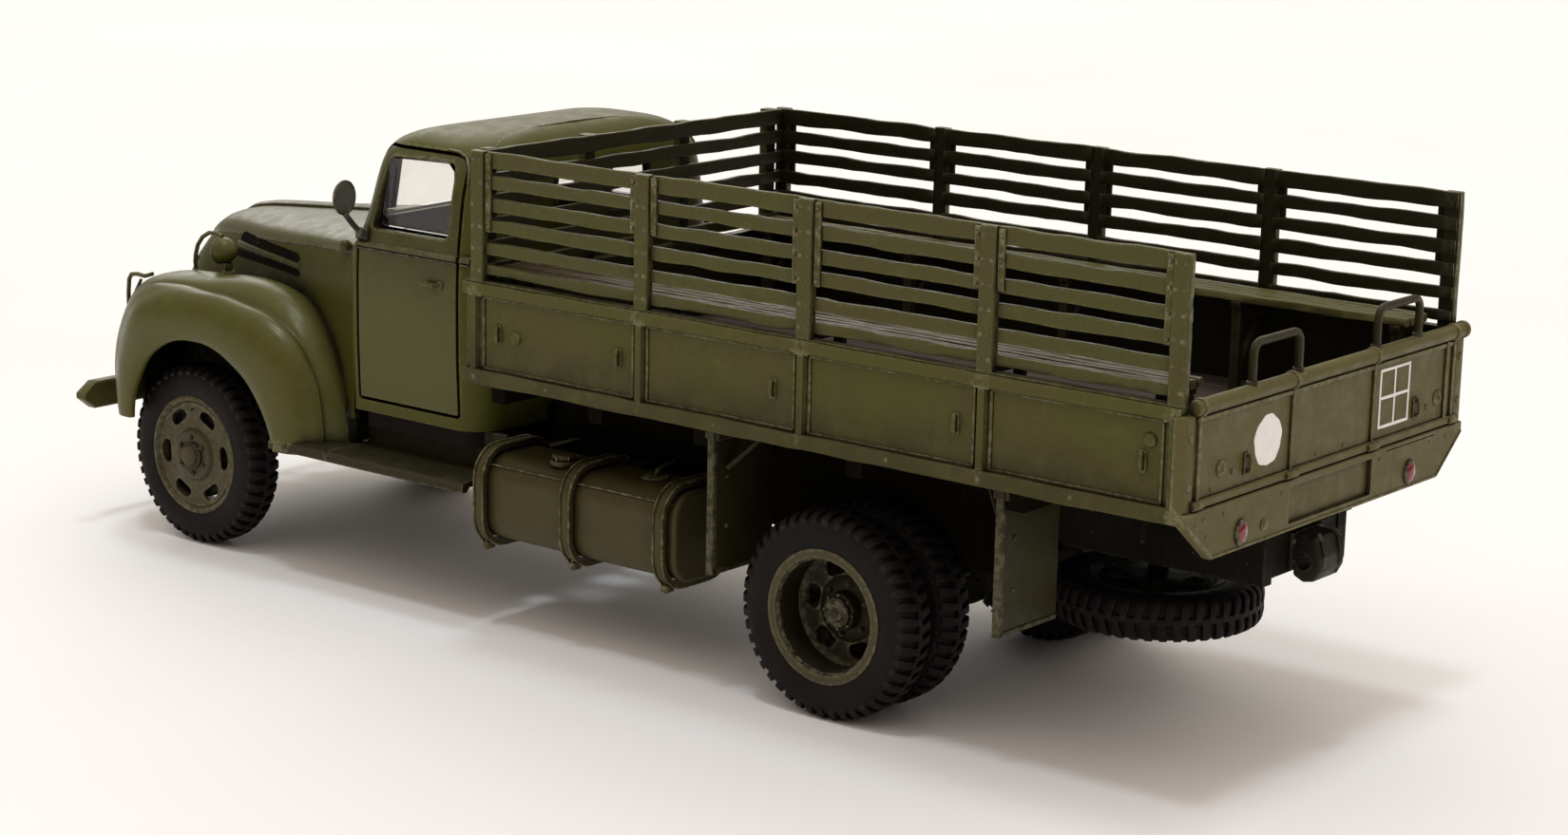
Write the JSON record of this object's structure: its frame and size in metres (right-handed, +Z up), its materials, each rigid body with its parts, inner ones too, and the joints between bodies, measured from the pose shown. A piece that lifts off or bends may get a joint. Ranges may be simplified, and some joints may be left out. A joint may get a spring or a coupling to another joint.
{
  "type": "military cargo truck scale model",
  "caption": "Small plastic scale model of an olive-green military cargo truck with a rounded cab, slatted stake body, folded troop benches and freely rolling wheels.",
  "frame": {"origin": "on the ground plane, under the middle of the bounding box", "axes": "+Z up; the truck's front faces -Y; +X is the truck's own left side"},
  "size_m": [0.0306, 0.0918, 0.0305],
  "materials": {
    "olive_paint": "satin olive-green hobby paint on moulded plastic, dark wash in the recesses",
    "chassis_black": "matt near-black olive underside",
    "dark_hardware": "satin dark grey",
    "deck_brown": "matt brown, painted as worn planks",
    "bench_green": "matt light olive green",
    "seat_plastic": "matt dark brown-green",
    "black_plastic": "satin black",
    "tyre_black": "matt warm grey-black, moulded tread",
    "clear_glazing": "clear plastic",
    "red_lens": "glossy dark red"
  },
  "bodies": {
    "truck_body": {"bed_floor": "deck_brown", "bed_front": "olive_paint", "bed_side_left": "olive_paint", "bed_side_right": "olive_paint", "bench_left": "bench_green", "bench_right": "bench_green", "cab_back": "olive_paint", "cab_bench": "seat_plastic", "cab_floor": "olive_paint", "cab_front": "olive_paint", "cab_glass": "clear_glazing", "cab_roof": "olive_paint", "cross_sills": "chassis_black", "crossmembers": "chassis_black", "dashboard": "olive_paint", "door_left": "olive_paint", "door_mirror": "olive_paint", "door_right": "olive_paint", "engine_block": "chassis_black", "exhaust_silencer": "chassis_black", "fender_left": "olive_paint", "fender_right": "olive_paint", "frame_rails": "chassis_black", "front_axle": "chassis_black", "front_bumper": "olive_paint", "fuel_tank": "olive_paint", "grille_bars": "olive_paint", "headlights": "olive_paint", "hood": "olive_paint", "lamp_guards": "olive_paint", "leaf_springs": "chassis_black", "long_sills": "chassis_black", "mud_boards": "olive_paint", "nose_shell": "olive_paint", "propeller_shaft": "chassis_black", "rack_front": "olive_paint", "rack_left": "olive_paint", "rack_right": "olive_paint", "rear_axle": "chassis_black", "rear_valance": "olive_paint", "running_boards": "olive_paint", "spare_carrier": "chassis_black", "spare_wheel": "tyre_black", "steering_wheel": "black_plastic", "tail_lights": "red_lens", "tailgate": "olive_paint", "tailgate_handles": "dark_hardware", "tank_straps": "olive_paint", "tow_hook": "dark_hardware"},
    "wheel_front_left": {"tyre_front_left": "tyre_black", "disc_front_left": "olive_paint"},
    "wheel_front_right": {"tyre_front_right": "tyre_black", "disc_front_right": "olive_paint"},
    "wheel_rear_left": {"tyre_rear_left": "tyre_black", "disc_rear_left": "olive_paint"},
    "wheel_rear_right": {"tyre_rear_right": "tyre_black", "disc_rear_right": "olive_paint"}
  },
  "joints": [
    {"name": "front_left_spin", "type": "hinge", "parent": "truck_body", "child": "wheel_front_left", "pos_m": [0.011, -0.0347, 0.0062], "axis": [1, 0, 0], "continuous": true},
    {"name": "front_right_spin", "type": "hinge", "parent": "truck_body", "child": "wheel_front_right", "pos_m": [-0.011, -0.0347, 0.0062], "axis": [1, 0, 0], "continuous": true},
    {"name": "rear_left_spin", "type": "hinge", "parent": "truck_body", "child": "wheel_rear_left", "pos_m": [0.0108, 0.021, 0.0062], "axis": [1, 0, 0], "continuous": true},
    {"name": "rear_right_spin", "type": "hinge", "parent": "truck_body", "child": "wheel_rear_right", "pos_m": [-0.0108, 0.021, 0.0062], "axis": [1, 0, 0], "continuous": true}
  ]
}
